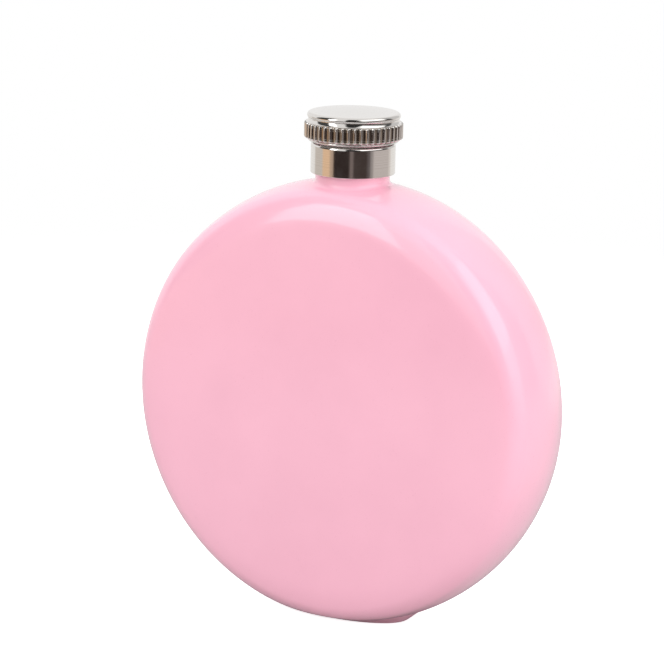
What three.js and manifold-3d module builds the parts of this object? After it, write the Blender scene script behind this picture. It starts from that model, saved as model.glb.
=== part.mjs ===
// A round hip flask that stands on a low foot: two drawn half shells, a raised seat for the neck,
// a threaded neck with a polished collar, and a screw cap with a coin edge, liner and seal.
// Millimetres, +Z up, origin under the middle of the foot. The front face looks along -Y.

import * as THREE from 'three';
import { mergeVertices } from 'three/addons/utils/BufferGeometryUtils.js';
import Module from 'manifold-3d';

const wasm = await Module();
wasm.setup();

// Body
const BODY_DIAMETER = 100;
const BODY_THICKNESS = 28.2;
const RIM_CROWN_RADIUS = 29; // the rim bulges like a barrel
const CORNER_RADIUS = 5.2; // between rim and face
const FACE_CROWN_RADIUS = 600; // the faces are nearly flat
const SHELL_WALL = 0.6;
const FLAT_DEPTH = 1.7; // how far the rim is pressed flat above the foot

// Foot
const FOOT_LENGTH = 40; // where its ends meet the rim
const FOOT_WIDTH = 17;
const FOOT_TREAD_LENGTH = 32; // what stands on the table
const FOOT_TREAD_WIDTH = 14;
const FOOT_PLATE = 0.7; // thickness below the flat of the rim
const FOOT_LIP = 0.25; // thickness of its edge

// Seat of the neck
const BOSS_RISE = 1.45; // flat top above the highest point of the rim
const BOSS_LEDGE = 0.15; // how far the flat top stands out beyond the collar
const BOSS_SIDE_FLARE = 1.6; // along the rim, beyond the flat top
const BOSS_FRONT_FLARE = 1.4; // towards the faces
const BOSS_LIP = 0.25; // thickness of the flare's edge

// Neck
const NECK_BORE = 13;
const NECK_WALL = 1.1;
const NECK_REACH_IN = 1.6; // below the inside of the rim
const NECK_SHOULDER_WIDTH = 1;
const NECK_SHOULDER_HEIGHT = 1;
const NECK_EDGE = 0.3;

// Collar
const COLLAR_DIAMETER = 18.6;
const COLLAR_HEIGHT = 6.78;
const COLLAR_EDGE = 0.7;

// Cap, from the lip up
const CAP_GAP = 0.3; // shadow line between collar and lip
const LIP_DIAMETER = 20;
const LIP_HEIGHT = 1.2;
const LIP_EDGE = 0.35;
const COIN_EDGE_DIAMETER = 21.7;
const COIN_EDGE_HEIGHT = 2.9;
const COIN_EDGE_CHAMFER = 0.15;
const RIB_COUNT = 48;
const RIB_DEPTH = 0.35;
const COVE_DIAMETER = 19.9; // at its narrowest, under the top plate
const COVE_WIDTH = 0.4;
const COVE_HEIGHT = 0.95;
const TOP_DIAMETER = 20.5;
const TOP_EDGE_HEIGHT = 1;
const TOP_EDGE_RADIUS = 0.55;
const TOP_UNDERSIDE_RADIUS = 0.2;
const DOME_RISE = 0.4;
const CAP_WALL = 0.5; // beside the liner
const CAP_ROOF = 0.55;

// Liner and seal
const LINER_WALL = 1;
const LINER_ROOF = 0.5;
const LINER_RECESS = 0.4; // above the lip of the cap
const SEAL_THICKNESS = 1;
const SEAL_GAP = 0.1; // to the rim of the neck

// Clearances
const FIT_GAP = 0.3; // between pieces shaped to each other
const SLIP_GAP = 0.2; // round the liner and the seal

// Fineness of the round forms
const BODY_SEGMENTS = 64;
const NECK_SEGMENTS = 48;
const FOOT_SEGMENTS = 40;
const CROWN_STEPS = 3;
const CORNER_STEPS = 5;
const FACE_STEPS = 3;
const EDGE_STEPS = 3;
const FLARE_STEPS = 5;
const RAMP_STEPS = 3;
const DOME_STEPS = 3;

// Worked out from the sizes above
const bodyRadius = BODY_DIAMETER / 2;
const halfThickness = BODY_THICKNESS / 2;
const centreHeight = FOOT_PLATE + bodyRadius - FLAT_DEPTH;
const rimTop = centreHeight + bodyRadius;
const bossTop = rimTop + BOSS_RISE;
const collarTop = bossTop + COLLAR_HEIGHT;
const capBottom = collarTop + CAP_GAP;
const ribsBottom = capBottom + LIP_HEIGHT;
const ribsTop = ribsBottom + COIN_EDGE_HEIGHT;
const coveTop = ribsTop + COVE_HEIGHT;
const topEdge = coveTop + TOP_EDGE_HEIGHT;
const capCeiling = topEdge - CAP_ROOF;
const linerCeiling = capCeiling - LINER_ROOF;
const sealBottom = linerCeiling - SEAL_THICKNESS;
const neckTop = sealBottom - SEAL_GAP;
const neckBottom = rimTop - SHELL_WALL - NECK_REACH_IN;
const boreRadius = NECK_BORE / 2;
const neckRadius = boreRadius + NECK_WALL;
const neckHoleRadius = neckRadius + FIT_GAP;
const shoulderRadius = neckRadius + NECK_SHOULDER_WIDTH;
const shoulderTop = bossTop + NECK_SHOULDER_HEIGHT;
const collarRadius = COLLAR_DIAMETER / 2;
const bossRadius = collarRadius + BOSS_LEDGE;
const lipRadius = LIP_DIAMETER / 2;
const coveRadius = COVE_DIAMETER / 2;
const topRadius = TOP_DIAMETER / 2;
const ribRadius = COIN_EDGE_DIAMETER / 2;
const capBoreRadius = Math.min(lipRadius, coveRadius) - CAP_WALL;
const linerRadius = capBoreRadius - SLIP_GAP;
const linerBoreRadius = linerRadius - LINER_WALL;
const sealRadius = linerBoreRadius - SLIP_GAP;

const point = (x, y) => new THREE.Vector2(x, y);

// Points along an arc, both ends included.
function arc(centre, radius, from, to, steps) {
  const points = [];
  for (let i = 0; i <= steps; i++) {
    const angle = from + ((to - from) * i) / steps;
    points.push(point(centre.x + radius * Math.cos(angle), centre.y + radius * Math.sin(angle)));
  }
  return points;
}

// A quarter-round edge of a turned piece, from one angle to the other.
const roundedEdge = (x, y, radius, from, to) => arc(point(x, y), radius, from, to, EDGE_STEPS);

// Shared vertices are merged and the empty triangles at the poles dropped.
function closed(geometry) {
  const bare = geometry.clone();
  bare.deleteAttribute('normal');
  bare.deleteAttribute('uv');
  const merged = mergeVertices(bare);
  const corners = merged.index.array;
  const kept = [];
  for (let i = 0; i < corners.length; i += 3) {
    const [a, b, c] = [corners[i], corners[i + 1], corners[i + 2]];
    if (a !== b && b !== c && c !== a) {
      kept.push(a, b, c);
    }
  }
  merged.setIndex(kept);
  return merged;
}

function solid(geometry) {
  const body = closed(geometry);
  const vertProperties = new Float32Array(body.attributes.position.array);
  const triVerts = new Uint32Array(body.index.array);
  return new wasm.Manifold(new wasm.Mesh({ numProp: 3, vertProperties, triVerts }));
}

function geometryOf(body) {
  const mesh = body.getMesh();
  const geometry = new THREE.BufferGeometry();
  geometry.setAttribute('position', new THREE.BufferAttribute(mesh.vertProperties, 3));
  geometry.setIndex(new THREE.BufferAttribute(mesh.triVerts, 1));
  return geometry;
}

// A form turned about the flask's upright axis, from a profile of radius and height.
function turned(profile, segments = NECK_SEGMENTS) {
  return new THREE.LatheGeometry(profile, segments).rotateX(Math.PI / 2);
}

// The body's half section is three tangent arcs: rim crown, corner and face crown.
const crownCentre = point(bodyRadius - RIM_CROWN_RADIUS, 0);
const faceCentre = point(0, halfThickness - FACE_CROWN_RADIUS);
const cornerCentre = crossing(
  crownCentre, RIM_CROWN_RADIUS - CORNER_RADIUS,
  faceCentre, FACE_CROWN_RADIUS - CORNER_RADIUS,
);
const crownEnd = Math.atan2(cornerCentre.y - crownCentre.y, cornerCentre.x - crownCentre.x);
const cornerEnd = Math.atan2(cornerCentre.y - faceCentre.y, cornerCentre.x - faceCentre.x);

// The crossing of two circles that lies further out and nearer the face.
function crossing(a, radiusA, b, radiusB) {
  const apart = a.distanceTo(b);
  const along = (apart ** 2 + radiusA ** 2 - radiusB ** 2) / (2 * apart);
  const aside = Math.sqrt(radiusA ** 2 - along ** 2);
  const way = b.clone().sub(a).divideScalar(apart);
  return point(a.x + way.x * along - way.y * aside, a.y + way.y * along + way.x * aside);
}

// From the rim to the middle of the face. A negative growth gives the inside of the wall.
function halfSection(growth) {
  return [
    ...arc(crownCentre, RIM_CROWN_RADIUS + growth, 0, crownEnd, CROWN_STEPS),
    ...arc(cornerCentre, CORNER_RADIUS + growth, crownEnd, cornerEnd, CORNER_STEPS).slice(1),
    ...arc(faceCentre, FACE_CROWN_RADIUS + growth, cornerEnd, Math.PI / 2, FACE_STEPS).slice(1, -1),
    point(0, halfThickness + growth),
  ];
}

// The whole body as a filled form, cut flat at the given height.
function filledBody(growth, flatHeight) {
  const back = halfSection(growth);
  const front = back.slice(1).reverse().map((p) => point(p.x, -p.y));
  const barrel = new THREE.LatheGeometry([...front, ...back], BODY_SEGMENTS);
  return solid(barrel.translate(0, 0, centreHeight)).intersect(slab(flatHeight));
}

// Everything above a height, as wide as the body and more.
function slab(bottom) {
  const size = 2 * BODY_DIAMETER;
  return solid(new THREE.BoxGeometry(size, size, size).translate(0, 0, bottom + size / 2));
}

// Everything on one side of the seam.
function halfSpace(side) {
  const size = 4 * BODY_DIAMETER;
  return solid(new THREE.BoxGeometry(size, size, size).translate(0, (side * size) / 2, 0));
}

// Height of the rim, grown by a clearance, at a place beside the neck's axis.
function rimHeightAt(x, y, growth) {
  const onCrown = Math.abs(y) <= (RIM_CROWN_RADIUS + growth) * Math.sin(crownEnd);
  const centre = onCrown ? crownCentre : cornerCentre;
  const bend = (onCrown ? RIM_CROWN_RADIUS : CORNER_RADIUS) + growth;
  const radius = centre.x + Math.sqrt(Math.max(0, bend ** 2 - (Math.abs(y) - centre.y) ** 2));
  return centreHeight + Math.sqrt(radius ** 2 - x ** 2);
}

function bodyShell(side) {
  const outside = filledBody(0, FOOT_PLATE);
  const inside = filledBody(-SHELL_WALL, FOOT_PLATE + SHELL_WALL);
  const hole = solid(turned([
    point(0, centreHeight),
    point(neckHoleRadius, centreHeight),
    point(neckHoleRadius, bossTop),
    point(0, bossTop),
  ]));
  return geometryOf(outside.subtract(inside).subtract(hole).intersect(halfSpace(side)));
}

// The space that the body takes, with room for the pieces shaped to it.
const bodyWithClearance = filledBody(FIT_GAP, FOOT_PLATE);

// An oval tread whose sides slope out and up to a thin edge along the rim.
function baseFoot() {
  const rings = RAMP_STEPS + 2;
  const skirt = centreHeight - cornerCentre.x;
  const positions = [0, 0, skirt];
  const lipAt = (x, y) => {
    const rimBottom = 2 * centreHeight - rimHeightAt(x, y, FIT_GAP);
    return Math.max(FOOT_PLATE, rimBottom) - FOOT_LIP;
  };
  for (let i = 0; i < FOOT_SEGMENTS; i++) {
    const turn = (2 * Math.PI * i) / FOOT_SEGMENTS;
    const [along, across] = [Math.cos(turn) / 2, Math.sin(turn) / 2];
    const drop = lipAt(FOOT_TREAD_LENGTH * along, FOOT_TREAD_WIDTH * across);
    positions.push(FOOT_LENGTH * along, FOOT_WIDTH * across, skirt);
    for (let k = 0; k <= RAMP_STEPS; k++) {
      const inward = k / RAMP_STEPS;
      const x = (FOOT_LENGTH + (FOOT_TREAD_LENGTH - FOOT_LENGTH) * inward) * along;
      const y = (FOOT_WIDTH + (FOOT_TREAD_WIDTH - FOOT_WIDTH) * inward) * across;
      positions.push(x, y, lipAt(x, y) - drop * inward);
    }
  }
  positions.push(0, 0, 0);
  const pad = solid(stackedRings(positions, FOOT_SEGMENTS, rings));
  return geometryOf(pad.subtract(bodyWithClearance));
}

// A flat round top whose sides fall away and fade into the barrel of the rim all round.
function neckBoss() {
  const rings = FLARE_STEPS + 2;
  const skirt = centreHeight + cornerCentre.x;
  const positions = [0, 0, bossTop];
  for (let i = 0; i < NECK_SEGMENTS; i++) {
    const turn = (2 * Math.PI * i) / NECK_SEGMENTS;
    const [across, along] = [Math.sin(turn), Math.cos(turn)];
    const flare = BOSS_SIDE_FLARE * along ** 2 + BOSS_FRONT_FLARE * across ** 2;
    const lipAt = (radius) => rimHeightAt(radius * along, radius * across, FIT_GAP) + BOSS_LIP;
    const rise = bossTop - lipAt(bossRadius);
    for (let k = 0; k <= FLARE_STEPS; k++) {
      const bend = (Math.PI / 2) * (k / FLARE_STEPS);
      const radius = bossRadius + flare * (1 - Math.cos(bend));
      const height = lipAt(radius) + rise * (1 - Math.sin(bend));
      positions.push(radius * along, radius * across, height);
    }
    const reach = bossRadius + flare;
    positions.push(reach * along, reach * across, skirt);
  }
  positions.push(0, 0, skirt);
  const flare = solid(stackedRings(positions, NECK_SEGMENTS, rings));
  const bore = solid(turned([
    point(0, centreHeight),
    point(neckHoleRadius, centreHeight),
    point(neckHoleRadius, capBottom),
    point(0, capBottom),
  ]));
  return geometryOf(flare.subtract(bore).subtract(bodyWithClearance));
}

// Faces over points listed as a top centre, spokes of rings from the top down, and a bottom centre.
function stackedRings(positions, spokes, rings) {
  const last = 1 + spokes * rings;
  const index = [];
  for (let i = 0; i < spokes; i++) {
    const here = 1 + i * rings;
    const next = 1 + ((i + 1) % spokes) * rings;
    index.push(0, here, next);
    for (let k = 0; k < rings - 1; k++) {
      index.push(here + k, here + k + 1, next + k);
      index.push(next + k, here + k + 1, next + k + 1);
    }
    index.push(here + rings - 1, last, next + rings - 1);
  }
  const geometry = new THREE.BufferGeometry();
  geometry.setAttribute('position', new THREE.Float32BufferAttribute(positions, 3));
  geometry.setIndex(index);
  return geometry;
}

// A turned tube whose shoulder stands on the boss and is hidden by the collar.
function neckTube() {
  return closed(turned([
    point(boreRadius, neckBottom),
    point(neckRadius, neckBottom),
    point(neckRadius, bossTop),
    point(shoulderRadius, bossTop),
    point(shoulderRadius, shoulderTop),
    point(neckRadius, shoulderTop),
    ...roundedEdge(neckRadius - NECK_EDGE, neckTop - NECK_EDGE, NECK_EDGE, 0, Math.PI / 2),
    point(boreRadius, neckTop),
    point(boreRadius, neckBottom),
  ]));
}

// A turned ring with rounded edges, counterbored for the shoulder of the neck.
function neckCollar() {
  const edge = COLLAR_EDGE;
  const step = shoulderTop + FIT_GAP;
  return closed(turned([
    point(shoulderRadius + FIT_GAP, bossTop),
    point(collarRadius, bossTop),
    ...roundedEdge(collarRadius - edge, collarTop - edge, edge, 0, Math.PI / 2),
    point(neckHoleRadius, collarTop),
    point(neckHoleRadius, step),
    point(shoulderRadius + FIT_GAP, step),
    point(shoulderRadius + FIT_GAP, bossTop),
  ]));
}

// The ribbed band of the cap: round-topped ribs with a flute between each two.
function coinEdge() {
  const outline = [];
  const pitch = (2 * Math.PI) / RIB_COUNT;
  const flank = [0, RIB_DEPTH, RIB_DEPTH]; // depth below the crest at thirds of the pitch
  for (let i = 0; i < RIB_COUNT; i++) {
    flank.forEach((depth, k) => {
      const turn = pitch * (i + k / flank.length);
      const radius = ribRadius - depth;
      outline.push(point(radius * Math.cos(turn), radius * Math.sin(turn)));
    });
  }
  const band = new THREE.ExtrudeGeometry(new THREE.Shape(outline), {
    depth: COIN_EDGE_HEIGHT - 2 * COIN_EDGE_CHAMFER,
    bevelThickness: COIN_EDGE_CHAMFER,
    bevelSize: COIN_EDGE_CHAMFER,
    bevelOffset: -COIN_EDGE_CHAMFER,
    bevelSegments: 1,
  });
  return solid(band.translate(0, 0, ribsBottom + COIN_EDGE_CHAMFER));
}

// The crowned top, as an arc through its edge and its highest point.
function dome(edgeRadius) {
  const radius = (edgeRadius ** 2 + DOME_RISE ** 2) / (2 * DOME_RISE);
  const centre = point(0, topEdge + DOME_RISE - radius);
  const start = Math.acos(edgeRadius / radius);
  return [...arc(centre, radius, start, Math.PI / 2, DOME_STEPS).slice(1, -1), point(0, topEdge + DOME_RISE)];
}

// The hollow sweep from the ribs in to the underside of the top plate.
function cove() {
  const points = [];
  for (let k = 0; k <= EDGE_STEPS; k++) {
    const bend = (Math.PI / 2) * (k / EDGE_STEPS);
    const radius = coveRadius + COVE_WIDTH * (1 - Math.sin(bend));
    points.push(point(radius, coveTop - COVE_HEIGHT * Math.cos(bend)));
  }
  return points;
}

function capShell() {
  const edge = TOP_EDGE_RADIUS;
  const under = TOP_UNDERSIDE_RADIUS;
  const cup = solid(turned([
    point(0, capBottom),
    ...roundedEdge(lipRadius - LIP_EDGE, capBottom + LIP_EDGE, LIP_EDGE, -Math.PI / 2, 0),
    point(lipRadius, ribsTop - COIN_EDGE_CHAMFER),
    point(coveRadius + COVE_WIDTH, ribsTop - COIN_EDGE_CHAMFER),
    ...cove(),
    ...roundedEdge(topRadius - under, coveTop + under, under, -Math.PI / 2, 0),
    ...roundedEdge(topRadius - edge, topEdge - edge, edge, 0, Math.PI / 2),
    ...dome(topRadius - edge),
  ]));
  const hollow = solid(turned([
    point(0, capBottom - CAP_GAP),
    point(capBoreRadius, capBottom - CAP_GAP),
    point(capBoreRadius, capCeiling),
    point(0, capCeiling),
  ]));
  return geometryOf(cup.add(coinEdge()).subtract(hollow));
}

// A moulded cup that fills the cap and takes the thread.
function threadLiner() {
  const bottom = capBottom + LINER_RECESS;
  return closed(turned([
    point(0, linerCeiling),
    point(linerBoreRadius, linerCeiling),
    point(linerBoreRadius, bottom),
    point(linerRadius, bottom),
    point(linerRadius, capCeiling),
    point(0, capCeiling),
  ]));
}

function capSeal() {
  return closed(turned([
    point(0, sealBottom),
    point(sealRadius, sealBottom),
    point(sealRadius, linerCeiling),
    point(0, linerCeiling),
  ]));
}

const pinkPaint = new THREE.MeshStandardMaterial({ color: 0xf8bfd1, roughness: 0.16, metalness: 0 });
const polishedSteel = new THREE.MeshStandardMaterial({ color: 0xd6d2ce, roughness: 0.1, metalness: 1 });
const turnedSteel = new THREE.MeshStandardMaterial({ color: 0xc4bfba, roughness: 0.3, metalness: 1 });
const whitePlastic = new THREE.MeshStandardMaterial({ color: 0xe8e5de, roughness: 0.45, metalness: 0 });
const silicone = new THREE.MeshStandardMaterial({ color: 0xd9d8d4, roughness: 0.65, metalness: 0 });

function piece(name, geometry, material) {
  const flat = geometry.toNonIndexed();
  flat.computeVertexNormals();
  const mesh = new THREE.Mesh(flat, material);
  mesh.name = name;
  return mesh;
}

const vessel = new THREE.Group();
vessel.add(
  piece('front_shell', bodyShell(-1), pinkPaint),
  piece('back_shell', bodyShell(1), pinkPaint),
  piece('base_foot', baseFoot(), pinkPaint),
  piece('neck_boss', neckBoss(), pinkPaint),
  piece('neck_tube', neckTube(), turnedSteel),
  piece('neck_collar', neckCollar(), polishedSteel),
);

const cap = new THREE.Group();
cap.add(
  piece('cap_shell', capShell(), polishedSteel),
  piece('thread_insert', threadLiner(), whitePlastic),
  piece('cap_seal', capSeal(), silicone),
);

const flask = new THREE.Group();
flask.add(vessel, cap);

export default flask;
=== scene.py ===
# A round hip flask in gloss pink enamel, with a polished steel collar and a coin-edge screw cap.
# Metres, +Z up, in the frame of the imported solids. The front face looks along -Y.

import math

import bmesh
import bpy
import numpy as np
from mathutils import Matrix, Vector


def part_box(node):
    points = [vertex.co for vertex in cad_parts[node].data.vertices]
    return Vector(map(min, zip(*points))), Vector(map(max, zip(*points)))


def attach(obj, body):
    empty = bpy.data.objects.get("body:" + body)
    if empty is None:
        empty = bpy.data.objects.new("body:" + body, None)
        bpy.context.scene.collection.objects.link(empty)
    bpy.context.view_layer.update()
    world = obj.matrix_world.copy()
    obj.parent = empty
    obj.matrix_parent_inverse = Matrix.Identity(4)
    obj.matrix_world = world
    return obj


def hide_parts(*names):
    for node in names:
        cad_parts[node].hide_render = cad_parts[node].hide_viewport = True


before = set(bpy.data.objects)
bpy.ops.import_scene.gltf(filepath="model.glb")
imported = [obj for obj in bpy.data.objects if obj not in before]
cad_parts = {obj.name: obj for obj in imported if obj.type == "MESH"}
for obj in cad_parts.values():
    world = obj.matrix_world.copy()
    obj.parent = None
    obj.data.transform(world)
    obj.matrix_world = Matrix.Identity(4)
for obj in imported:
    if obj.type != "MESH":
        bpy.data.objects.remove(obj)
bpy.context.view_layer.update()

MM = 0.001

# Body
shell_low, shell_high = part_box("back_shell")
BODY_RADIUS = shell_high.x
HALF_THICKNESS = shell_high.y
FLAT_HEIGHT = shell_low.z
RIM_CROWN_RADIUS = 29 * MM
CORNER_RADIUS = 5.2 * MM
FACE_CROWN_RADIUS = 600 * MM
FACE_RADIUS = 41 * MM  # where the face begins to ease over to the corner
EASING_RADIUS = 25 * MM
SHELL_WALL = 0.6 * MM
FLAT_DEPTH = 1.7 * MM
FLAT_EDGE_SOFTNESS = 0.5 * MM
BODY_CENTRE = FLAT_HEIGHT + BODY_RADIUS - FLAT_DEPTH

# Foot
_, foot_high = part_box("base_foot")
FOOT_HALF_LENGTH = foot_high.x
FOOT_HALF_WIDTH = foot_high.y
TREAD_HALF_LENGTH = 16 * MM
TREAD_HALF_WIDTH = 7 * MM
TREAD_ROUNDING = 0.2  # at the tread's edge, as a share of the slope beside it
FOOT_SINK = 0.03 * MM  # how far the foot's edge runs into the rim

# Neck, its seat and its collar
_, boss_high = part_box("neck_boss")
neck_low, neck_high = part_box("neck_tube")
_, collar_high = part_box("neck_collar")
BOSS_TOP = boss_high.z
BOSS_BORE_RADIUS = 7.7 * MM
BOSS_RADIUS = 8.2 * MM
BOSS_FILLET = 0.9 * MM
BOSS_ROUNDING = 0.1 * MM
BOSS_SINK = 0.004 * MM  # how far the fillet's edge runs below the rim
BORE_RADIUS = 6.5 * MM
NECK_RADIUS = 7.6 * MM
NECK_END_ROUNDING = 0.2 * MM
NECK_MOUTH_ROUNDING = 0.3 * MM
NECK_HOLE_RADIUS = 7.9 * MM
SHOULDER_RADIUS = neck_high.x
SHOULDER_TOP = BOSS_TOP + 1 * MM
SHOULDER_ROUNDING = 0.15 * MM
SHOULDER_CORNER_ROUNDING = 0.1 * MM
COLLAR_RADIUS = collar_high.x
COLLAR_TOP = collar_high.z
COLLAR_ROUNDING = 0.7 * MM
COLLAR_FOOT_ROUNDING = 0.12 * MM
COLLAR_BORE_ROUNDING = 0.15 * MM
FIT_GAP = 0.08 * MM  # between the collar and the neck's shoulder

# Cap, its liner and its seal
cap_low, cap_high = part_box("cap_shell")
liner_low, liner_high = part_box("thread_insert")
seal_low, seal_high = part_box("cap_seal")
CAP_BOTTOM = cap_low.z
LIP_RADIUS = 10 * MM
LIP_HEIGHT = 0.5 * MM
LIP_ROUNDING = 0.22 * MM
LIP_GROOVE_RADIUS = 9.72 * MM
LIP_GROOVE_ROUNDING = 0.05 * MM
RIBS_BOTTOM = CAP_BOTTOM + 0.65 * MM
RIBS_TOP = CAP_BOTTOM + 4.1 * MM
RIB_RADIUS = cap_high.x
RIB_COUNT = 48
RIB_DEPTH = 0.38 * MM
RIB_STEPS = 12
RIB_FLANK = (0.05, 0.34)  # where a rib's side starts and ends, in pitches from its crest
RIB_CHAMFER = 0.3 * MM
RIB_CHAMFER_STEPS = 4
CAP_TOP = cap_high.z
TOP_RADIUS = 10.25 * MM
TOP_EDGE = CAP_TOP - 0.15 * MM
TOP_EDGE_RADIUS = 0.75 * MM
TOP_EDGE_TUCK = math.radians(35)  # how far the rolled edge turns in below its widest line
COVE_RADIUS = 9.95 * MM
COVE_WIDTH = 0.45 * MM
COVE_TOP = TOP_EDGE - TOP_EDGE_RADIUS * (1 + math.sin(TOP_EDGE_TUCK))
CAP_BORE_RADIUS = 9.45 * MM
CAP_MOUTH_ROUNDING = 0.12 * MM
CAP_CEILING = liner_high.z
CAP_CEILING_ROUNDING = 0.15 * MM
LINER_RADIUS = liner_high.x
LINER_BORE_RADIUS = 8.25 * MM
LINER_BOTTOM = liner_low.z
LINER_CEILING = seal_high.z
LINER_MOUTH_ROUNDING = 0.2 * MM
LINER_FOOT_ROUNDING = 0.15 * MM
LINER_TOP_ROUNDING = 0.1 * MM
LINER_CEILING_ROUNDING = 0.15 * MM
SEAL_RADIUS = seal_high.x
SEAL_BOTTOM = seal_low.z
SEAL_FACE_ROUNDING = 0.15 * MM
SEAL_BACK_ROUNDING = 0.1 * MM
SEAL_DENT = 0.08 * MM  # depth of the ring that the neck presses into the seal

# Screw thread, with the liner's ridge midway between turns of the neck's
THREAD_LEAD = 2 * MM
THREAD_DEPTH = 0.5 * MM
THREAD_SINK = 0.05 * MM  # how far a ridge's root runs into its wall
THREAD_ROOT_WIDTH = 0.9 * MM
THREAD_CREST_WIDTH = 0.35 * MM
THREAD_STEPS = 96  # in a turn
THREAD_RUN_OUT = 0.12  # at each end, as a share of the thread's length
THREAD_TIP = 0.02  # scale of the section at the very end
NECK_THREAD_TURNS = 1.5
NECK_THREAD_START = COLLAR_TOP + 0.72 * MM
LINER_THREAD_TURNS = 1.0
LINER_THREAD_START = NECK_THREAD_START + THREAD_LEAD / 2

# View of the photograph: where the camera stands, from the middle of the body
VIEW_AZIMUTH = math.radians(28.65)
VIEW_ELEVATION = math.radians(14.13)
VIEW_ROLL = math.radians(1.25)
VIEW_DISTANCE = 667 * MM
LENS = 162  # lens and sensor in millimetres, as Blender has them
SENSOR = 36
CLIP_START = 10 * MM
FRAME_PIXELS = 664
BODY_CENTRE_PIXEL = (349.0, 399.1)


# Camera

def direction(azimuth, elevation):
    """Unit vector away from the flask. Azimuth 0 is straight out of the front face."""
    level = math.cos(elevation)
    return Vector((math.sin(azimuth) * level, -math.cos(azimuth) * level, math.sin(elevation)))


def looking(eye, aim, roll):
    """Matrix of a camera or lamp at eye that faces aim."""
    back = (eye - aim).normalized()
    right = Vector((0, 0, 1)).cross(back).normalized()
    up = back.cross(right)
    side = math.cos(roll) * right + math.sin(roll) * up
    matrix = Matrix((side, back.cross(side), back)).transposed().to_4x4()
    matrix.translation = eye
    return matrix


def photo_camera():
    """A camera that puts the middle of the body at its pixel in the photograph."""
    centre = Vector((0, 0, BODY_CENTRE))
    back = direction(VIEW_AZIMUTH, VIEW_ELEVATION)
    right = Vector((math.cos(VIEW_AZIMUTH), math.sin(VIEW_AZIMUTH), 0))
    up = back.cross(right)
    per_pixel = VIEW_DISTANCE * SENSOR / (LENS * FRAME_PIXELS)
    across = (FRAME_PIXELS / 2 - BODY_CENTRE_PIXEL[0]) * per_pixel
    above = (BODY_CENTRE_PIXEL[1] - FRAME_PIXELS / 2) * per_pixel
    data = bpy.data.cameras.new("photo_camera")
    data.lens = LENS
    data.sensor_width = SENSOR
    data.clip_start = CLIP_START
    camera = bpy.data.objects.new("photo_camera", data)
    bpy.context.collection.objects.link(camera)
    eye = centre + VIEW_DISTANCE * back
    camera.matrix_world = looking(eye, centre + across * right + above * up, VIEW_ROLL)
    bpy.context.scene.camera = camera


photo_camera()


# Node trees

def add(tree, kind, inputs=None, **settings):
    """A new node. A socket among the inputs is linked and anything else is set."""
    node = tree.nodes.new(kind)
    for name, value in settings.items():
        setattr(node, name, value)
    for name, value in (inputs or {}).items():
        if isinstance(value, bpy.types.NodeSocket):
            tree.links.new(value, node.inputs[name])
        else:
            node.inputs[name].default_value = value
    return node


def calculate(tree, operation, *values):
    return add(tree, "ShaderNodeMath", dict(enumerate(values)), operation=operation).outputs[0]


def ranged(tree, value, low, high, to_low, to_high, kind="LINEAR"):
    inputs = {0: value, 1: low, 2: high, 3: to_low, 4: to_high}
    return add(tree, "ShaderNodeMapRange", inputs, interpolation_type=kind).outputs[0]


def colours(tree, factor, stops):
    """A colour ramp of (place, colour) stops."""
    node = add(tree, "ShaderNodeValToRGB", {0: factor})
    ramp = node.color_ramp
    while len(ramp.elements) < len(stops):
        ramp.elements.new(1.0)
    for element, (place, colour) in zip(ramp.elements, stops):
        element.position = place
        element.color = (*colour, 1)
    return node.outputs[0]


def over(tree, share, lower, upper):
    """The upper colour laid over the lower one by a share from 0 to 1."""
    return add(tree, "ShaderNodeMix", {0: share, 6: lower, 7: upper}, data_type="RGBA").outputs[2]


# Finishes

HOLLOW = "hollow"  # the attribute that marks how deep in a flute a point lies, from 0 to 1
# Painted shade: a dark brown laid into the bottoms of the coin edge's flutes, standing in for their
# shade and dark reflections
FLUTE_PAINTED_SHADE = (0.36, 0.31, 0.26)
PAINTED_SHADE_FALL = 3  # how fast the painted shade thins out towards the crests
NOISE_SPREAD = (0.3, 0.7)  # where most values of a noise lie


def finish(name, **constants):
    """A material with its shader's constant sockets set, and a source of object coordinates."""
    material = bpy.data.materials.new(name)
    material.use_nodes = True
    tree = material.node_tree
    surface = tree.nodes["Principled BSDF"]
    for socket, value in constants.items():
        surface.inputs[socket.replace("_", " ")].default_value = value
    place = add(tree, "ShaderNodeTexCoord").outputs["Object"]
    return material, tree, surface, place


def noise(tree, place, grain, detail):
    """Noise whose grain is a size in metres."""
    inputs = {"Vector": place, "Scale": 1 / grain, "Detail": detail}
    return add(tree, "ShaderNodeTexNoise", inputs).outputs[0]


def relief(tree, height, depth):
    inputs = {"Height": height, "Distance": depth, "Strength": 1.0}
    return add(tree, "ShaderNodeBump", inputs).outputs[0]


def between(darker, lighter):
    """Stops of a ramp from one colour to the other over the spread of a noise."""
    return list(zip(NOISE_SPREAD, (darker, lighter)))


def roughened(tree, surface, pattern, smoothest, roughest):
    """Lets the surface's roughness follow a noise."""
    roughness = ranged(tree, pattern, *NOISE_SPREAD, smoothest, roughest)
    tree.links.new(roughness, surface.inputs["Roughness"])


def pink_enamel():
    """Gloss enamel: a soft cloud in the colour, a little orange peel and fine dust in the gloss."""
    material, tree, surface, place = finish(
        "pink_enamel", IOR=1.5, Coat_Weight=1.0, Coat_Roughness=0.07, Coat_IOR=1.5
    )
    cloud = noise(tree, place, grain=22 * MM, detail=3)
    shades = [(0.35, (0.905, 0.455, 0.575)), (0.65, (0.935, 0.475, 0.597))]
    tree.links.new(colours(tree, cloud, shades), surface.inputs["Base Color"])
    dust = noise(tree, place, grain=0.35 * MM, detail=3)
    roughened(tree, surface, dust, smoothest=0.27, roughest=0.37)
    peel = relief(tree, noise(tree, place, grain=1.6 * MM, detail=1), depth=0.006 * MM)
    tree.links.new(peel, surface.inputs["Normal"])
    tree.links.new(peel, surface.inputs["Coat Normal"])
    return material


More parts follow.
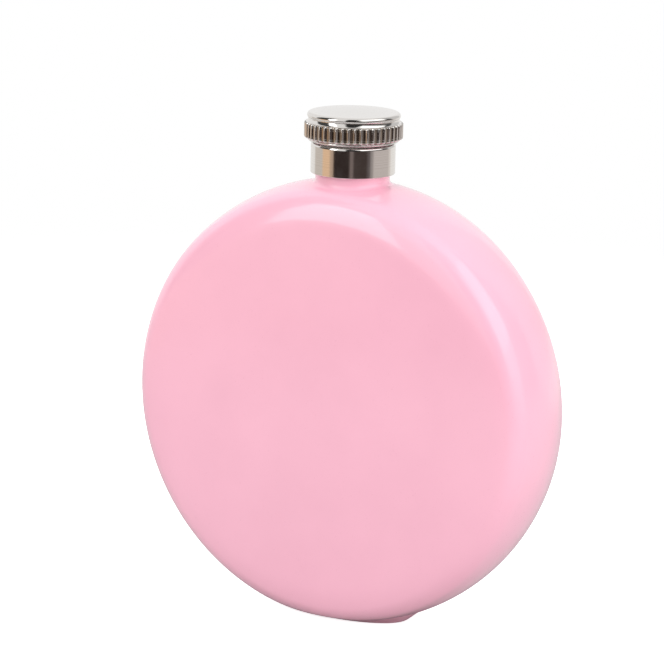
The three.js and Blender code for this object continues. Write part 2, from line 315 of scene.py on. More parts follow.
def turned_finish(name, tint, shade, polish, dulled, line, depth):
    """Steel turned on a lathe: fine lines round the axis, smears, and painted shade darkening its
    hollows.
    """
    material, tree, surface, place = finish(name, Metallic=1.0)
    height = add(tree, "ShaderNodeSeparateXYZ", {0: place}).outputs["Z"]
    along = add(tree, "ShaderNodeCombineXYZ", {"Z": height}).outputs[0]
    lines = noise(tree, along, grain=line, detail=3)
    smears = noise(tree, place, grain=3.5 * MM, detail=4)
    hollow = add(tree, "ShaderNodeAttribute", attribute_name=HOLLOW).outputs["Fac"]
    # Painted shade: the steel goes over to dark brown towards the bottom of each flute
    painted_shade = calculate(tree, "POWER", hollow, PAINTED_SHADE_FALL)
    steel = colours(tree, lines, between(shade, tint))
    tree.links.new(over(tree, painted_shade, steel, (*FLUTE_PAINTED_SHADE, 1)), surface.inputs["Base Color"])
    roughened(tree, surface, smears, polish, dulled)
    tree.links.new(relief(tree, lines, depth), surface.inputs["Normal"])
    return material


def polished_steel():
    return turned_finish(
        "polished_steel",
        tint=(0.87, 0.84, 0.81),
        shade=(0.75, 0.72, 0.69),
        polish=0.07,
        dulled=0.13,
        line=0.22 * MM,
        depth=0.012 * MM,
    )


def turned_steel():
    return turned_finish(
        "turned_steel",
        tint=(0.72, 0.70, 0.68),
        shade=(0.52, 0.50, 0.48),
        polish=0.22,
        dulled=0.34,
        line=0.12 * MM,
        depth=0.01 * MM,
    )


def moulded_plastic():
    """White moulded plastic with a satin spark-eroded skin."""
    material, tree, surface, place = finish("moulded_plastic", IOR=1.49)
    flow = noise(tree, place, grain=6 * MM, detail=3)
    shades = between((0.79, 0.77, 0.72), (0.84, 0.83, 0.79))
    tree.links.new(colours(tree, flow, shades), surface.inputs["Base Color"])
    sparks = noise(tree, place, grain=0.12 * MM, detail=2)
    roughened(tree, surface, sparks, smoothest=0.38, roughest=0.52)
    tree.links.new(relief(tree, sparks, depth=0.006 * MM), surface.inputs["Normal"])
    return material


def milky_silicone():
    """Soft matt silicone that lets a little light in."""
    material, tree, surface, place = finish(
        "milky_silicone", IOR=1.41, Subsurface_Weight=0.3, Subsurface_Scale=0.5 * MM
    )
    cloud = noise(tree, place, grain=4 * MM, detail=2)
    shades = between((0.68, 0.68, 0.65), (0.75, 0.75, 0.73))
    tree.links.new(colours(tree, cloud, shades), surface.inputs["Base Color"])
    bloom = noise(tree, place, grain=0.3 * MM, detail=3)
    roughened(tree, surface, bloom, smoothest=0.55, roughest=0.72)
    tree.links.new(relief(tree, bloom, depth=0.004 * MM), surface.inputs["Normal"])
    return material


ENAMEL = pink_enamel()
POLISHED_STEEL = polished_steel()
TURNED_STEEL = turned_steel()
PLASTIC = moulded_plastic()
SILICONE = milky_silicone()


# Making of meshes

SHARP_ANGLE = math.radians(40)
EDGE_STEPS = 6
EDGE_HOLD = 0.1  # straight run beside a rounded edge, in radii of the edge
WELD = 0.002 * MM  # points nearer than this are joined after a cut


def smoothed(mesh):
    mesh.shade_smooth()
    mesh.set_sharp_from_angle(angle=SHARP_ANGLE)


def skin(name, rings, material):
    """A closed mesh over rings of points, the last joined to the first. A single point is a pole."""
    starts = np.cumsum([0] + [len(ring) for ring in rings])
    faces = []
    for i, ring in enumerate(rings):
        j = (i + 1) % len(rings)
        count = max(len(ring), len(rings[j]))
        if count == 1:
            continue
        for k in range(count):
            here = starts[i] + np.array([k, (k + 1) % count]) % len(ring)
            there = starts[j] + np.array([k, (k + 1) % count]) % len(rings[j])
            corners = [here[0], here[1], there[1], there[0]]
            faces.append([int(c) for c in dict.fromkeys(corners)])
    mesh = bpy.data.meshes.new(name)
    mesh.from_pydata(np.concatenate(rings).tolist(), [], faces)
    mesh.materials.append(material)
    smoothed(mesh)
    piece = bpy.data.objects.new(name, mesh)
    bpy.context.collection.objects.link(piece)
    return piece


def spread(count):
    """Cosines and sines of even steps round a circle."""
    turn = np.arange(count) * 2 * math.pi / count
    return np.cos(turn), np.sin(turn)


def unit(vector):
    return vector / np.linalg.norm(vector)


def rounded(corners):
    """Points of a closed outline, from its corners as (x, y, rounding)."""
    points = []
    for i, (x, y, radius) in enumerate(corners):
        here = np.array([x, y])
        if radius == 0:
            points.append(here)
            continue
        before = unit(np.array(corners[i - 1][:2]) - here)
        after = unit(np.array(corners[(i + 1) % len(corners)][:2]) - here)
        half = math.acos(np.clip(before @ after, -1, 1)) / 2
        reach = radius / math.tan(half)
        centre = here + unit(before + after) * radius / math.sin(half)
        start = math.atan2(*(here + before * reach - centre)[::-1])
        end = math.atan2(*(here + after * reach - centre)[::-1])
        sweep = (end - start + math.pi) % (2 * math.pi) - math.pi
        points.append(here + before * (reach + EDGE_HOLD * radius))
        for k in range(EDGE_STEPS + 1):
            angle = start + sweep * k / EDGE_STEPS
            points.append(centre + radius * np.array([math.cos(angle), math.sin(angle)]))
        points.append(here + after * (reach + EDGE_HOLD * radius))
    return points


TURNED_SEGMENTS = 192


def turned(name, outline, material):
    """A piece turned about the neck's axis from an outline of (radius, height), outer side upwards."""
    cosines, sines = spread(TURNED_SEGMENTS)
    rings = []
    for radius, height in outline:
        if radius == 0:
            rings.append(np.array([[0, 0, height]]))
        else:
            rings.append(np.c_[radius * cosines, radius * sines, np.full(TURNED_SEGMENTS, height)])
    return skin(name, rings, material)


def settled(piece):
    """Turns what the piece's modifiers make into its plain mesh."""
    evaluated = piece.evaluated_get(bpy.context.evaluated_depsgraph_get())
    mesh = bpy.data.meshes.new_from_object(evaluated)
    piece.modifiers.clear()
    piece.data = mesh
    mesh.name = piece.name
    smoothed(mesh)
    return piece


def welded(mesh):
    """Joins points that a cut has left on top of each other."""
    shape = bmesh.new()
    shape.from_mesh(mesh)
    bmesh.ops.remove_doubles(shape, verts=shape.verts, dist=WELD)
    bmesh.ops.dissolve_degenerate(shape, edges=shape.edges, dist=WELD)
    shape.to_mesh(mesh)
    shape.free()


def fitted(piece, body, slot, *nodes):
    """Says which body the piece rides on and hides the nodes that it stands for. The slot is not used.
    """
    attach(piece, body)
    if nodes:
        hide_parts(*nodes)


# Body shells

SHELL_SEGMENTS = 288
CROWN_STEPS = 14
CORNER_STEPS = 18
EASING_STEPS = 6
FACE_STEPS = 16
SEAM_STEP = 0.004  # first step beside the seam, as a share of the crown's arc

crown_centre = np.array([BODY_RADIUS - RIM_CROWN_RADIUS, 0.0])
face_centre = np.array([0.0, HALF_THICKNESS - FACE_CROWN_RADIUS])


def crossing(a, radius_a, b, radius_b):
    """The crossing of two circles that lies further out and nearer the face."""
    apart = np.linalg.norm(b - a)
    along = (apart**2 + radius_a**2 - radius_b**2) / (2 * apart)
    aside = math.sqrt(radius_a**2 - along**2)
    way = (b - a) / apart
    return a + along * way + aside * np.array([-way[1], way[0]])


def bearing(centre, to):
    return math.atan2(to[1] - centre[1], to[0] - centre[0])


face_edge = math.acos(FACE_RADIUS / FACE_CROWN_RADIUS)
easing_way = np.array([math.cos(face_edge), math.sin(face_edge)])
easing_centre = face_centre + (FACE_CROWN_RADIUS - EASING_RADIUS) * easing_way
corner_centre = crossing(
    crown_centre, RIM_CROWN_RADIUS - CORNER_RADIUS, easing_centre, EASING_RADIUS - CORNER_RADIUS
)
crown_end = bearing(crown_centre, corner_centre)
corner_end = bearing(easing_centre, corner_centre)


def arc(centre, radius, start, end, shares):
    angles = start + (end - start) * np.asarray(shares)
    return centre + radius * np.c_[np.cos(angles), np.sin(angles)]


def half_section(growth):
    """Rim crown, corner, easing and face crown from the seam to the middle of the face."""
    crown = [0, SEAM_STEP, *np.linspace(0, 1, CROWN_STEPS + 1)[1:]]
    corner = np.linspace(0, 1, CORNER_STEPS + 1)[1:]
    easing = np.linspace(0, 1, EASING_STEPS + 1)[1:]
    face = np.linspace(0, 1, FACE_STEPS + 1)[1:-1] ** 2
    return np.concatenate([
        arc(crown_centre, RIM_CROWN_RADIUS + growth, 0, crown_end, crown),
        arc(corner_centre, CORNER_RADIUS + growth, crown_end, corner_end, corner),
        arc(easing_centre, EASING_RADIUS + growth, corner_end, face_edge, easing),
        arc(face_centre, FACE_CROWN_RADIUS + growth, face_edge, math.pi / 2, face),
        [[0, HALF_THICKNESS + growth]],
    ])


def softened(above):
    """A height that goes flat softly where it would fall below nothing."""
    return (above + np.sqrt(above**2 + FLAT_EDGE_SOFTNESS**2)) / 2


def shell_rings(growth, floor, side):
    """Rings about the body's axis. The rim goes flat softly where it would fall below the floor."""
    cosines, sines = spread(SHELL_SEGMENTS)
    rings = []
    for radius, depth in half_section(growth):
        if radius == 0:
            rings.append(np.array([[0, side * depth, BODY_CENTRE]]))
            continue
        height = floor + softened(BODY_CENTRE + radius * cosines - floor)
        rings.append(np.c_[side * radius * sines, np.full(SHELL_SEGMENTS, side * depth), height])
    return rings


def rim_height(x, y):
    """Height of the rim's outside above the middle of the body."""
    depth = abs(y)
    on_crown = depth <= RIM_CROWN_RADIUS * math.sin(crown_end)
    centre, bend = (crown_centre, RIM_CROWN_RADIUS) if on_crown else (corner_centre, CORNER_RADIUS)
    radius = centre[0] + math.sqrt(max(0, bend**2 - (depth - centre[1]) ** 2))
    return math.sqrt(radius**2 - x**2)


def rim_bottom(x, y):
    """Height of the rim's underside, with its soft flat."""
    return FLAT_HEIGHT + softened(BODY_CENTRE - rim_height(x, y) - FLAT_HEIGHT)


def neck_hole_cutter():
    outline = [
        (0, BODY_CENTRE),
        (NECK_HOLE_RADIUS, BODY_CENTRE),
        (NECK_HOLE_RADIUS, COLLAR_TOP),
        (0, COLLAR_TOP),
    ]
    return turned("neck_hole", outline, ENAMEL)


def body_shell(name, side):
    outside = shell_rings(0, FLAT_HEIGHT, side)
    inside = shell_rings(-SHELL_WALL, FLAT_HEIGHT + SHELL_WALL, side)
    shell = skin(name, outside + inside[::-1], ENAMEL)
    cutter = neck_hole_cutter()
    hole = shell.modifiers.new("neck_hole", "BOOLEAN")
    hole.operation = "DIFFERENCE"
    hole.solver = "EXACT"
    hole.object = cutter
    welded(settled(shell).data)
    bpy.data.objects.remove(cutter)
    fitted(shell, "flask", "body_paint", name)


body_shell("front_shell", -1)
body_shell("back_shell", 1)


# Foot

FOOT_STEPS = 10


def foot_column(along, across):
    """Section of the foot in one direction: along the tread, up the slope and back inside the rim."""
    inner = np.array([TREAD_HALF_LENGTH * along, TREAD_HALF_WIDTH * across])
    outer = np.array([FOOT_HALF_LENGTH * along, FOOT_HALF_WIDTH * across])
    edge_height = rim_bottom(*outer) + FOOT_SINK
    shares = [*np.linspace(-TREAD_ROUNDING, TREAD_ROUNDING, FOOT_STEPS, endpoint=False)]
    shares += [*np.linspace(TREAD_ROUNDING, 1, FOOT_STEPS)]
    column = []
    for share in shares:
        x, y = inner + (outer - inner) * share
        rounding = (share + TREAD_ROUNDING) ** 2 / (4 * TREAD_ROUNDING)
        climb = rounding if share < TREAD_ROUNDING else share
        column.append((x, y, edge_height * climb))
    for share in shares[::-1]:
        x, y = inner + (outer - inner) * share
        column.append((x, y, rim_bottom(x, y) + SHELL_WALL / 2))
    return column


def base_foot():
    """A low oval foot whose sides slope up into the rim."""
    columns = np.array([foot_column(*way) for way in zip(*spread(SHELL_SEGMENTS))])
    rings = list(columns.transpose(1, 0, 2))
    middle = rim_bottom(0, 0) + SHELL_WALL / 2
    rings = [np.array([[0, 0, 0]]), *rings, np.array([[0, 0, middle]])]
    fitted(skin("base_foot", rings, ENAMEL), "flask", "body_paint", "base_foot")


base_foot()


# Seat of the neck

FILLET_STEPS = 10


def boss_column(along, across):
    """Section of the seat in one direction: out under the rim, up the fillet and the wall, and back."""
    def rim(radius):
        return BODY_CENTRE + rim_height(radius * along, radius * across)

    reach = BOSS_RADIUS + BOSS_FILLET
    column = [(BOSS_BORE_RADIUS, rim(BOSS_BORE_RADIUS) - SHELL_WALL), (reach, rim(reach) - SHELL_WALL)]
    for bend in np.linspace(math.pi / 2, 0, FILLET_STEPS + 1):
        radius = BOSS_RADIUS + BOSS_FILLET * (1 - math.cos(bend))
        climb = BOSS_FILLET * (1 - math.sin(bend))
        column.append((radius, rim(radius) + climb - BOSS_SINK * math.sin(bend)))
    for bend in np.linspace(0, math.pi / 2, EDGE_STEPS + 1):
        inset = BOSS_ROUNDING * (1 - math.cos(bend))
        column.append((BOSS_RADIUS - inset, BOSS_TOP - BOSS_ROUNDING * (1 - math.sin(bend))))
    column.append((BOSS_BORE_RADIUS, BOSS_TOP))
    return [(radius * along, radius * across, height) for radius, height in column]


def neck_boss():
    columns = np.array([boss_column(*way) for way in zip(*spread(TURNED_SEGMENTS))])
    rings = list(columns.transpose(1, 0, 2))
    fitted(skin("neck_boss", rings, ENAMEL), "flask", "body_paint", "neck_boss")


neck_boss()


# Neck and collar

def neck_tube():
    outline = rounded([
        (BORE_RADIUS, neck_low.z, NECK_END_ROUNDING),
        (NECK_RADIUS, neck_low.z, NECK_END_ROUNDING),
        (NECK_RADIUS, BOSS_TOP, 0),
        (SHOULDER_RADIUS, BOSS_TOP, 0),
        (SHOULDER_RADIUS, SHOULDER_TOP, SHOULDER_ROUNDING),
        (NECK_RADIUS, SHOULDER_TOP, SHOULDER_CORNER_ROUNDING),
        (NECK_RADIUS, neck_high.z, NECK_MOUTH_ROUNDING),
        (BORE_RADIUS, neck_high.z, NECK_MOUTH_ROUNDING),
    ])
    fitted(turned("neck_tube", outline, TURNED_STEEL), "flask", "turned_steel", "neck_tube")


def neck_collar():
    inside = SHOULDER_RADIUS + FIT_GAP
    step = SHOULDER_TOP + FIT_GAP
    outline = rounded([
        (inside, BOSS_TOP, 0),
        (COLLAR_RADIUS, BOSS_TOP, COLLAR_FOOT_ROUNDING),
        (COLLAR_RADIUS, COLLAR_TOP, COLLAR_ROUNDING),
        (NECK_HOLE_RADIUS, COLLAR_TOP, COLLAR_BORE_ROUNDING),
        (NECK_HOLE_RADIUS, step, 0),
        (inside, step, 0),
    ])
    fitted(turned("neck_collar", outline, POLISHED_STEEL), "flask", "polished_steel", "neck_collar")


neck_tube()
neck_collar()


# Cap

DOME_STEPS = 12
COVE_STEPS = 8
ROLL_STEPS = 14


def dome(edge_radius):
    """The crowned top from its edge to its middle."""
    rise = CAP_TOP - TOP_EDGE
    radius = (edge_radius**2 + rise**2) / (2 * rise)
    across = np.linspace(edge_radius, 0, DOME_STEPS + 1)[1:]
    return [(r, CAP_TOP - radius + math.sqrt(radius**2 - r**2), 0) for r in across]


def cove():
    """The hollow sweep from the ribs in to the underside of the top plate."""
    bend = np.linspace(0, math.pi / 2, COVE_STEPS + 1)
    radii = COVE_RADIUS + COVE_WIDTH * (1 - np.sin(bend))
    heights = COVE_TOP - (COVE_TOP - RIBS_TOP) * np.cos(bend)
    return [(radius, height, 0) for radius, height in zip(radii, heights)]


def rolled_edge():
    """The edge of the top plate, from where it tucks in over the cove up to the dome."""
    bend = np.linspace(-TOP_EDGE_TUCK, math.pi / 2, ROLL_STEPS + 1)
    radii = TOP_RADIUS + TOP_EDGE_RADIUS * (np.cos(bend) - 1)
    heights = TOP_EDGE + TOP_EDGE_RADIUS * (np.sin(bend) - 1)
    return [(radius, height, 0) for radius, height in zip(radii, heights)]


def cap_shell():
    outline = rounded([
        (CAP_BORE_RADIUS, CAP_BOTTOM, CAP_MOUTH_ROUNDING),
        (LIP_RADIUS, CAP_BOTTOM, LIP_ROUNDING),
        (LIP_RADIUS, CAP_BOTTOM + LIP_HEIGHT, LIP_ROUNDING),
        (LIP_GROOVE_RADIUS, CAP_BOTTOM + LIP_HEIGHT, LIP_GROOVE_ROUNDING),
        (LIP_GROOVE_RADIUS, RIBS_TOP - RIB_CHAMFER, 0),
        (COVE_RADIUS + COVE_WIDTH, RIBS_TOP - RIB_CHAMFER, 0),
        *cove(),
        *rolled_edge(),
        *dome(TOP_RADIUS - TOP_EDGE_RADIUS),
        (0, CAP_CEILING, 0),
        (CAP_BORE_RADIUS, CAP_CEILING, CAP_CEILING_ROUNDING),
    ])
    fitted(turned("cap_shell", outline, POLISHED_STEEL), "cap", "polished_steel", "cap_shell")


def thread_insert():
    outline = rounded([
        (LINER_BORE_RADIUS, LINER_BOTTOM, LINER_MOUTH_ROUNDING),
        (LINER_RADIUS, LINER_BOTTOM, LINER_FOOT_ROUNDING),
        (LINER_RADIUS, CAP_CEILING, LINER_TOP_ROUNDING),
        (0, CAP_CEILING, 0),
        (0, LINER_CEILING, 0),
        (LINER_BORE_RADIUS, LINER_CEILING, LINER_CEILING_ROUNDING),
    ])
    fitted(turned("thread_insert", outline, PLASTIC), "cap", "white_plastic", "thread_insert")


def cap_seal():
    """A disc with the shallow ring that the neck's edge presses into it."""
    dent = SEAL_BOTTOM + SEAL_DENT
    outline = rounded([
        (0, SEAL_BOTTOM, 0),
        (BORE_RADIUS - SEAL_DENT, SEAL_BOTTOM, SEAL_DENT),
        (BORE_RADIUS + SEAL_DENT, dent, SEAL_DENT),
        (NECK_RADIUS - SEAL_DENT, dent, SEAL_DENT),
        (NECK_RADIUS + SEAL_DENT, SEAL_BOTTOM, SEAL_DENT),
        (SEAL_RADIUS, SEAL_BOTTOM, SEAL_FACE_ROUNDING),
        (SEAL_RADIUS, LINER_CEILING, SEAL_BACK_ROUNDING),
        (0, LINER_CEILING, 0),
    ])
    fitted(turned("cap_seal", outline, SILICONE), "seal", "silicone", "cap_seal")


cap_shell()
thread_insert()
cap_seal()


# Coin edge and threads, made by geometry nodes

def size_inputs(tree, sizes):
    """Named inputs of a tree, as sockets to link."""
    for name, kind in sizes.items():
        tree.interface.new_socket(name, in_out="INPUT", socket_type=kind)
    tree.interface.new_socket("Geometry", in_out="OUTPUT", socket_type="NodeSocketGeometry")
    return add(tree, "NodeGroupInput").outputs


def finished(tree, geometry, material):
    real = add(tree, "GeometryNodeRealizeInstances", {"Geometry": geometry}).outputs[0]
    coated = add(tree, "GeometryNodeSetMaterial", {"Geometry": real, "Material": material}).outputs[0]
    add(tree, "NodeGroupOutput", {"Geometry": coated})


def faced_outwards(mesh):
    shape = bmesh.new()
    shape.from_mesh(mesh)
    bmesh.ops.recalc_face_normals(shape, faces=shape.faces)
    shape.to_mesh(mesh)
    shape.free()


def grown(name, tree, **sizes):
    """A piece that a tree makes from the given sizes, as a plain mesh."""
    piece = bpy.data.objects.new(name, bpy.data.meshes.new(name))
    bpy.context.collection.objects.link(piece)
    modifier = piece.modifiers.new(tree.name, "NODES")
    modifier.node_group = tree
    for socket in tree.interface.items_tree:
        if socket.in_out == "INPUT":
            modifier[socket.identifier] = sizes[socket.name.replace(" ", "_")]
    faced_outwards(settled(piece).data)
    return piece


def coin_edge_tree():
    """A ring of rectangular section whose outer side is pressed into ribs."""
    tree = bpy.data.node_groups.new("coin_edge", "GeometryNodeTree")
    size = size_inputs(tree, {
        "Count": "NodeSocketInt",
        "Steps": "NodeSocketInt",
        "Core Radius": "NodeSocketFloat",
        "Crest Radius": "NodeSocketFloat",
        "Depth": "NodeSocketFloat",
        "Height": "NodeSocketFloat",
        "Chamfer": "NodeSocketFloat",
        "Middle": "NodeSocketFloat",
        "Material": "NodeSocketMaterial",
    })
    wall = calculate(tree, "SUBTRACT", size["Crest Radius"], size["Core Radius"])
    middle = calculate(tree, "MULTIPLY_ADD", wall, 0.5, size["Core Radius"])
    points = calculate(tree, "MULTIPLY", size["Count"], size["Steps"])
    ring = add(tree, "GeometryNodeCurvePrimitiveCircle", {"Resolution": points, "Radius": middle})
    section = add(
        tree, "GeometryNodeCurvePrimitiveQuadrilateral", {"Width": wall, "Height": size["Height"]}
    )
    soft = add(
        tree,
        "GeometryNodeFilletCurve",
        {"Curve": section.outputs[0], "Radius": size["Chamfer"], "Count": RIB_CHAMFER_STEPS},
        mode="POLY",
    )
    band = add(
        tree,
        "GeometryNodeCurveToMesh",
        {"Curve": ring.outputs[0], "Profile Curve": soft.outputs[0]},
    )
    place = add(tree, "GeometryNodeInputPosition").outputs[0]
    part = add(tree, "ShaderNodeSeparateXYZ", {0: place}).outputs
    angle = calculate(tree, "ARCTAN2", part["Y"], part["X"])
    ribs = calculate(tree, "MULTIPLY", angle, calculate(tree, "DIVIDE", size["Count"], 2 * math.pi))
    from_crest = calculate(tree, "PINGPONG", ribs, 0.5)
    flute = ranged(tree, from_crest, *RIB_FLANK, 0, 1, "SMOOTHSTEP")
    level = add(tree, "ShaderNodeVectorMath", {0: place, 1: (1, 1, 0)}, operation="MULTIPLY").outputs[0]
    out = add(tree, "ShaderNodeVectorMath", {0: level}, operation="NORMALIZE").outputs[0]
    radius = add(tree, "ShaderNodeVectorMath", {0: level}, operation="LENGTH").outputs["Value"]
    outer = ranged(tree, radius, size["Core Radius"], size["Crest Radius"], 0, 1)
    hollow = calculate(tree, "MULTIPLY", flute, outer)
    inward = calculate(tree, "MULTIPLY", calculate(tree, "MULTIPLY", hollow, size["Depth"]), -1)
    press = add(tree, "ShaderNodeVectorMath", {0: out, "Scale": inward}, operation="SCALE").outputs[0]
    lift = add(tree, "ShaderNodeCombineXYZ", {"Z": size["Middle"]}).outputs[0]
    offset = add(tree, "ShaderNodeVectorMath", {0: press, 1: lift}, operation="ADD").outputs[0]
    marked = add(
        tree,
        "GeometryNodeStoreNamedAttribute",
        {"Geometry": band.outputs[0], "Name": HOLLOW, "Value": hollow},
    )
    pressed = add(tree, "GeometryNodeSetPosition", {"Geometry": marked.outputs[0], "Offset": offset})
    finished(tree, pressed.outputs[0], size["Material"])
    return tree


def screw_thread_tree():
    """A ridge of trapezoid section along a right-hand helix, run out to nothing at both ends."""
    tree = bpy.data.node_groups.new("screw_thread", "GeometryNodeTree")
    size = size_inputs(tree, {
        "Steps": "NodeSocketInt",
        "Turns": "NodeSocketFloat",
        "Lead": "NodeSocketFloat",
        "Root Radius": "NodeSocketFloat",
        "Crest Radius": "NodeSocketFloat",
        "Root Width": "NodeSocketFloat",
        "Crest Width": "NodeSocketFloat",
        "Start": "NodeSocketFloat",
        "Material": "NodeSocketMaterial",
    })
    rise = calculate(tree, "MULTIPLY", size["Turns"], size["Lead"])
    helix = add(tree, "GeometryNodeCurveSpiral", {
        "Resolution": size["Steps"],
        "Rotations": size["Turns"],
        "Start Radius": size["Root Radius"],
        "End Radius": size["Root Radius"],
        "Height": rise,
        "Reverse": True,
    })
    upright = add(tree, "GeometryNodeSetCurveNormal", {"Curve": helix.outputs[0]}, mode="Z_UP")
    share = add(tree, "GeometryNodeSplineParameter").outputs["Factor"]
    from_end = calculate(tree, "PINGPONG", share, 0.5)
    run_out = ranged(tree, from_end, 0, THREAD_RUN_OUT, THREAD_TIP, 1, "SMOOTHSTEP")
    depth = calculate(tree, "SUBTRACT", size["Crest Radius"], size["Root Radius"])
    corners = [
        (0, "Root Width", -0.5),
        (depth, "Crest Width", -0.5),
        (depth, "Crest Width", 0.5),
        (0, "Root Width", 0.5),
    ]
    section = add(tree, "GeometryNodeCurvePrimitiveQuadrilateral", mode="POINTS")
    for number, (out, width, half) in enumerate(corners, 1):
        across = calculate(tree, "MULTIPLY", size[width], half)
        corner = add(tree, "ShaderNodeCombineXYZ", {"X": out, "Y": across}).outputs[0]
        tree.links.new(corner, section.inputs[f"Point {number}"])
    ridge = add(tree, "GeometryNodeCurveToMesh", {
        "Curve": upright.outputs[0],
        "Profile Curve": section.outputs[0],
        "Scale": run_out,
        "Fill Caps": True,
    })
    lift = add(tree, "ShaderNodeCombineXYZ", {"Z": size["Start"]}).outputs[0]
    raised = add(tree, "GeometryNodeSetPosition", {"Geometry": ridge.outputs[0], "Offset": lift})
    finished(tree, raised.outputs[0], size["Material"])
    return tree


def coin_edge():
    ribs = grown(
        "coin_edge",
        coin_edge_tree(),
        Count=RIB_COUNT,
        Steps=RIB_STEPS,
        Core_Radius=LIP_GROOVE_RADIUS,
        Crest_Radius=RIB_RADIUS,
        Depth=RIB_DEPTH,
        Height=RIBS_TOP - RIBS_BOTTOM,
        Chamfer=RIB_CHAMFER,
        Middle=(RIBS_BOTTOM + RIBS_TOP) / 2,
        Material=POLISHED_STEEL,
    )
    fitted(ribs, "cap", "polished_steel")


def screw_thread(name, tree, body, slot, material, **sizes):
    ridge = grown(
        name,
        tree,
        Steps=THREAD_STEPS,
        Lead=THREAD_LEAD,
        Root_Width=THREAD_ROOT_WIDTH,
        Crest_Width=THREAD_CREST_WIDTH,
        Material=material,
        **sizes,
    )
    fitted(ridge, body, slot)


def screw_threads():
    tree = screw_thread_tree()
    screw_thread(
        "neck_thread",
        tree,
        "flask",
        "turned_steel",
        TURNED_STEEL,
        Turns=NECK_THREAD_TURNS,
        Root_Radius=NECK_RADIUS - THREAD_SINK,
        Crest_Radius=NECK_RADIUS + THREAD_DEPTH,
        Start=NECK_THREAD_START,
    )
    screw_thread(
        "liner_thread",
        tree,
        "cap",
        "white_plastic",
        PLASTIC,
        Turns=LINER_THREAD_TURNS,
        Root_Radius=LINER_BORE_RADIUS + THREAD_SINK,
        Crest_Radius=LINER_BORE_RADIUS - THREAD_DEPTH,
        Start=LINER_THREAD_START,
    )


coin_edge()
screw_threads()


# Studio

WHITE = (1.0, 1.0, 1.0)
FLOOR_RADIUS = 0.45
FLOOR_SEGMENTS = 128
FLOOR_OPENING = 0.95  # as a share of the foot's tread
FLOOR_FADE = 0.2  # distance at which the floor begins to fade
FLOOR_COLOUR = (0.9, 0.9, 0.9)
FLOOR_GLOW = 0.8
FLOOR_BOUNCE = (0.45, 0.45, 0.45)  # the floor's colour to light and to reflections
LAMP_DISTANCE = 1.1
FILL_DISTANCE = 1.0
TENT = (0.85, 0.85, 0.85)
LOW_TO_NEAR = (-4.0, 1.0)  # elevations between which one tier gives way to the next, in degrees
NEAR_TO_MIDDLE = (6.0, 10.0)
MIDDLE_TO_TENT = (52.0, 68.0)
BAND_EDGE = 2.5  # half width of the blend between two neighbours, in degrees
DARK = (0.03, 0.02, 0.018)
DUSK = (0.055, 0.04, 0.036)
BRIGHT = (0.88, 0.87, 0.85)

# What stands round the table: where each starts, in degrees from the front, and its colour
LOW_SURROUNDINGS = [
    (-180, BRIGHT),
    (-97, (0.62, 0.57, 0.52)),
    (-62, (0.8, 0.55, 0.36)),
    (-37, (0.5, 0.37, 0.28)),
    (-26, DARK),
    (20, (0.2, 0.16, 0.15)),
    (30, DUSK),
    (68, (0.12, 0.1, 0.1)),
    (77, (0.33, 0.3, 0.29)),
    (86, (0.57, 0.52, 0.5)),
    (142, (0.72, 0.67, 0.64)),
    (152, BRIGHT),
]
MIDDLE_SURROUNDINGS = [
    (-180, (0.9, 0.9, 0.9)),
    (-75, (0.06, 0.06, 0.06)),
    (-36, (0.85, 0.85, 0.85)),
    (8, (0.03, 0.03, 0.03)),
    (49, (0.6, 0.6, 0.6)),
    (116, (0.1, 0.1, 0.1)),
    (138, (0.65, 0.65, 0.65)),
]
# Just over the horizon the same, but dark where the panel on the right ends
NEAR_SURROUNDINGS = sorted({**dict(MIDDLE_SURROUNDINGS), 49: DUSK}.items())


def surroundings(tree, share, bands):
    """Colours round the table, with a soft edge between neighbours."""
    stops = [(0, bands[0][1])]
    for (_, before), (start, after) in zip(bands, bands[1:]):
        stops.append(((start - BAND_EDGE + 180) / 360, before))
        stops.append(((start + BAND_EDGE + 180) / 360, after))
    return colours(tree, share, stops)


def studio_world():
    """White to the camera. The flask reflects a bright tent over three tiers of surroundings."""
    world = bpy.data.worlds.new("studio")
    bpy.context.scene.world = world
    world.use_nodes = True
    tree = world.node_tree
    tree.nodes.clear()
    way = add(tree, "ShaderNodeTexCoord").outputs["Generated"]
    part = add(tree, "ShaderNodeSeparateXYZ", {0: way}).outputs
    front = calculate(tree, "MULTIPLY", part["Y"], -1)
    round_table = calculate(tree, "ARCTAN2", part["X"], front)
    share = ranged(tree, round_table, -math.pi, math.pi, 0, 1)
    climb = calculate(tree, "DEGREES", calculate(tree, "ARCSINE", part["Z"]))
    to_near = ranged(tree, climb, *LOW_TO_NEAR, 0, 1, "SMOOTHSTEP")
    to_middle = ranged(tree, climb, *NEAR_TO_MIDDLE, 0, 1, "SMOOTHSTEP")
    to_tent = ranged(tree, climb, *MIDDLE_TO_TENT, 0, 1, "SMOOTHSTEP")
    low = surroundings(tree, share, LOW_SURROUNDINGS)
    near = surroundings(tree, share, NEAR_SURROUNDINGS)
    middle = surroundings(tree, share, MIDDLE_SURROUNDINGS)
    walls = over(tree, to_middle, over(tree, to_near, low, near), middle)
    seen = over(tree, to_tent, walls, (*TENT, 1))
    studio = add(tree, "ShaderNodeBackground", {"Color": seen}).outputs[0]
    plain = add(tree, "ShaderNodeBackground", {"Color": (*WHITE, 1)}).outputs[0]
    camera = add(tree, "ShaderNodeLightPath").outputs["Is Camera Ray"]
    shown = add(tree, "ShaderNodeMixShader", {0: camera, 1: studio, 2: plain}).outputs[0]
    add(tree, "ShaderNodeOutputWorld", {"Surface": shown})


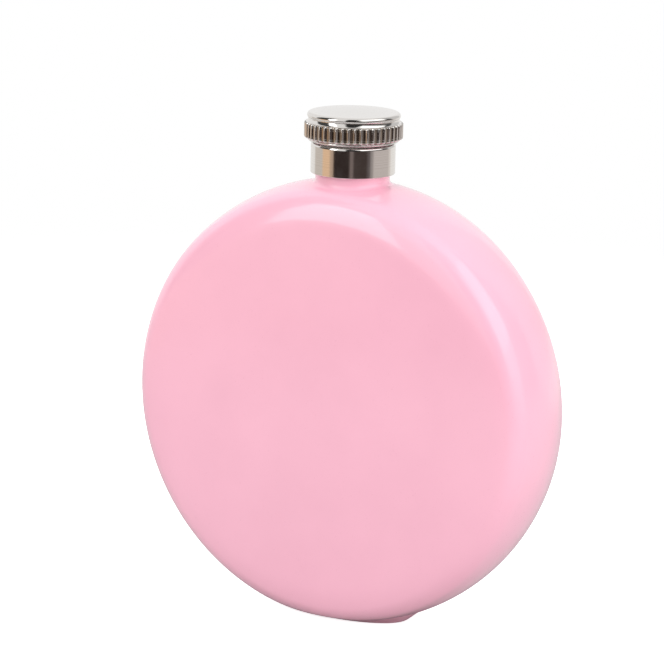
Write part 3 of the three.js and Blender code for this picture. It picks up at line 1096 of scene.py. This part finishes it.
def lamp(name, azimuth, elevation, width, height, radiance, roll=0, distance=LAMP_DISTANCE):
    """A rectangular soft light that faces the body. Angles are in degrees."""
    data = bpy.data.lights.new(name, "AREA")
    data.shape = "RECTANGLE"
    data.size = 2 * distance * math.tan(math.radians(width) / 2)
    data.size_y = 2 * distance * math.tan(math.radians(height) / 2)
    data.energy = radiance * math.pi * data.size * data.size_y
    light = bpy.data.objects.new(name, data)
    bpy.context.collection.objects.link(light)
    centre = Vector((0, 0, BODY_CENTRE))
    way = direction(math.radians(azimuth), math.radians(elevation))
    light.matrix_world = looking(centre + distance * way, centre, math.radians(roll))
    light.visible_camera = False
    return light


def fill(name, **settings):
    """A lamp that lights the flask but isn't mirrored in it."""
    lamp(name, distance=FILL_DISTANCE, **settings).visible_glossy = False


def studio_floor():
    """A pale disc, open under the foot, that fades out before its edge and is clear from below."""
    mesh = bpy.data.meshes.new("floor")
    cosines, sines = spread(FLOOR_SEGMENTS)
    level = np.zeros(FLOOR_SEGMENTS)
    opening = FLOOR_OPENING * np.c_[TREAD_HALF_LENGTH * cosines, TREAD_HALF_WIDTH * sines, level]
    edge = np.c_[FLOOR_RADIUS * cosines, FLOOR_RADIUS * sines, level]
    faces = []
    for k in range(FLOOR_SEGMENTS):
        following = (k + 1) % FLOOR_SEGMENTS
        faces.append([k, FLOOR_SEGMENTS + k, FLOOR_SEGMENTS + following, following])
    mesh.from_pydata(np.concatenate([opening, edge]).tolist(), [], faces)
    floor = bpy.data.objects.new("floor", mesh)
    bpy.context.collection.objects.link(floor)
    material, tree, surface, place = finish("pale_floor", Roughness=0.9, Specular_IOR_Level=0.0)
    surface.inputs["Base Color"].default_value = (*FLOOR_COLOUR, 1)
    surface.inputs["Emission Color"].default_value = (*WHITE, 1)
    surface.inputs["Emission Strength"].default_value = FLOOR_GLOW
    bright = surface.outputs[0]
    dim = add(tree, "ShaderNodeBsdfDiffuse", {"Color": (*FLOOR_BOUNCE, 1)}).outputs[0]
    clear = add(tree, "ShaderNodeBsdfTransparent").outputs[0]
    away = add(tree, "ShaderNodeVectorMath", {0: place}, operation="LENGTH").outputs["Value"]
    fade = ranged(tree, away, FLOOR_FADE, FLOOR_RADIUS, 0, 1, "SMOOTHSTEP")
    below = add(tree, "ShaderNodeNewGeometry").outputs["Backfacing"]
    camera = add(tree, "ShaderNodeLightPath").outputs["Is Camera Ray"]
    seen = add(tree, "ShaderNodeMixShader", {0: camera, 1: dim, 2: bright}).outputs[0]
    gone = calculate(tree, "MAXIMUM", fade, below)
    faded = add(tree, "ShaderNodeMixShader", {0: gone, 1: seen, 2: clear}).outputs[0]
    tree.links.new(faded, tree.nodes["Material Output"].inputs["Surface"])
    mesh.materials.append(material)


studio_world()
studio_floor()
lamp("window_left", azimuth=-27, elevation=20, width=18, height=32, radiance=2.35)
lamp("softbox_right", azimuth=80, elevation=41, width=66, height=38, radiance=1.08, roll=12)
fill("front_fill", azimuth=-4, elevation=38, width=50, height=50, radiance=1.1)
fill("low_fill", azimuth=80, elevation=3, width=60, height=20, radiance=4.9)
fill("left_fill", azimuth=-60, elevation=35, width=50, height=50, radiance=0.9)
fill("high_fill", azimuth=-20, elevation=75, width=50, height=50, radiance=0.66)
fill("back_fill", azimuth=212, elevation=28, width=60, height=50, radiance=1.3)
bpy.context.scene.view_settings.view_transform = "Standard"
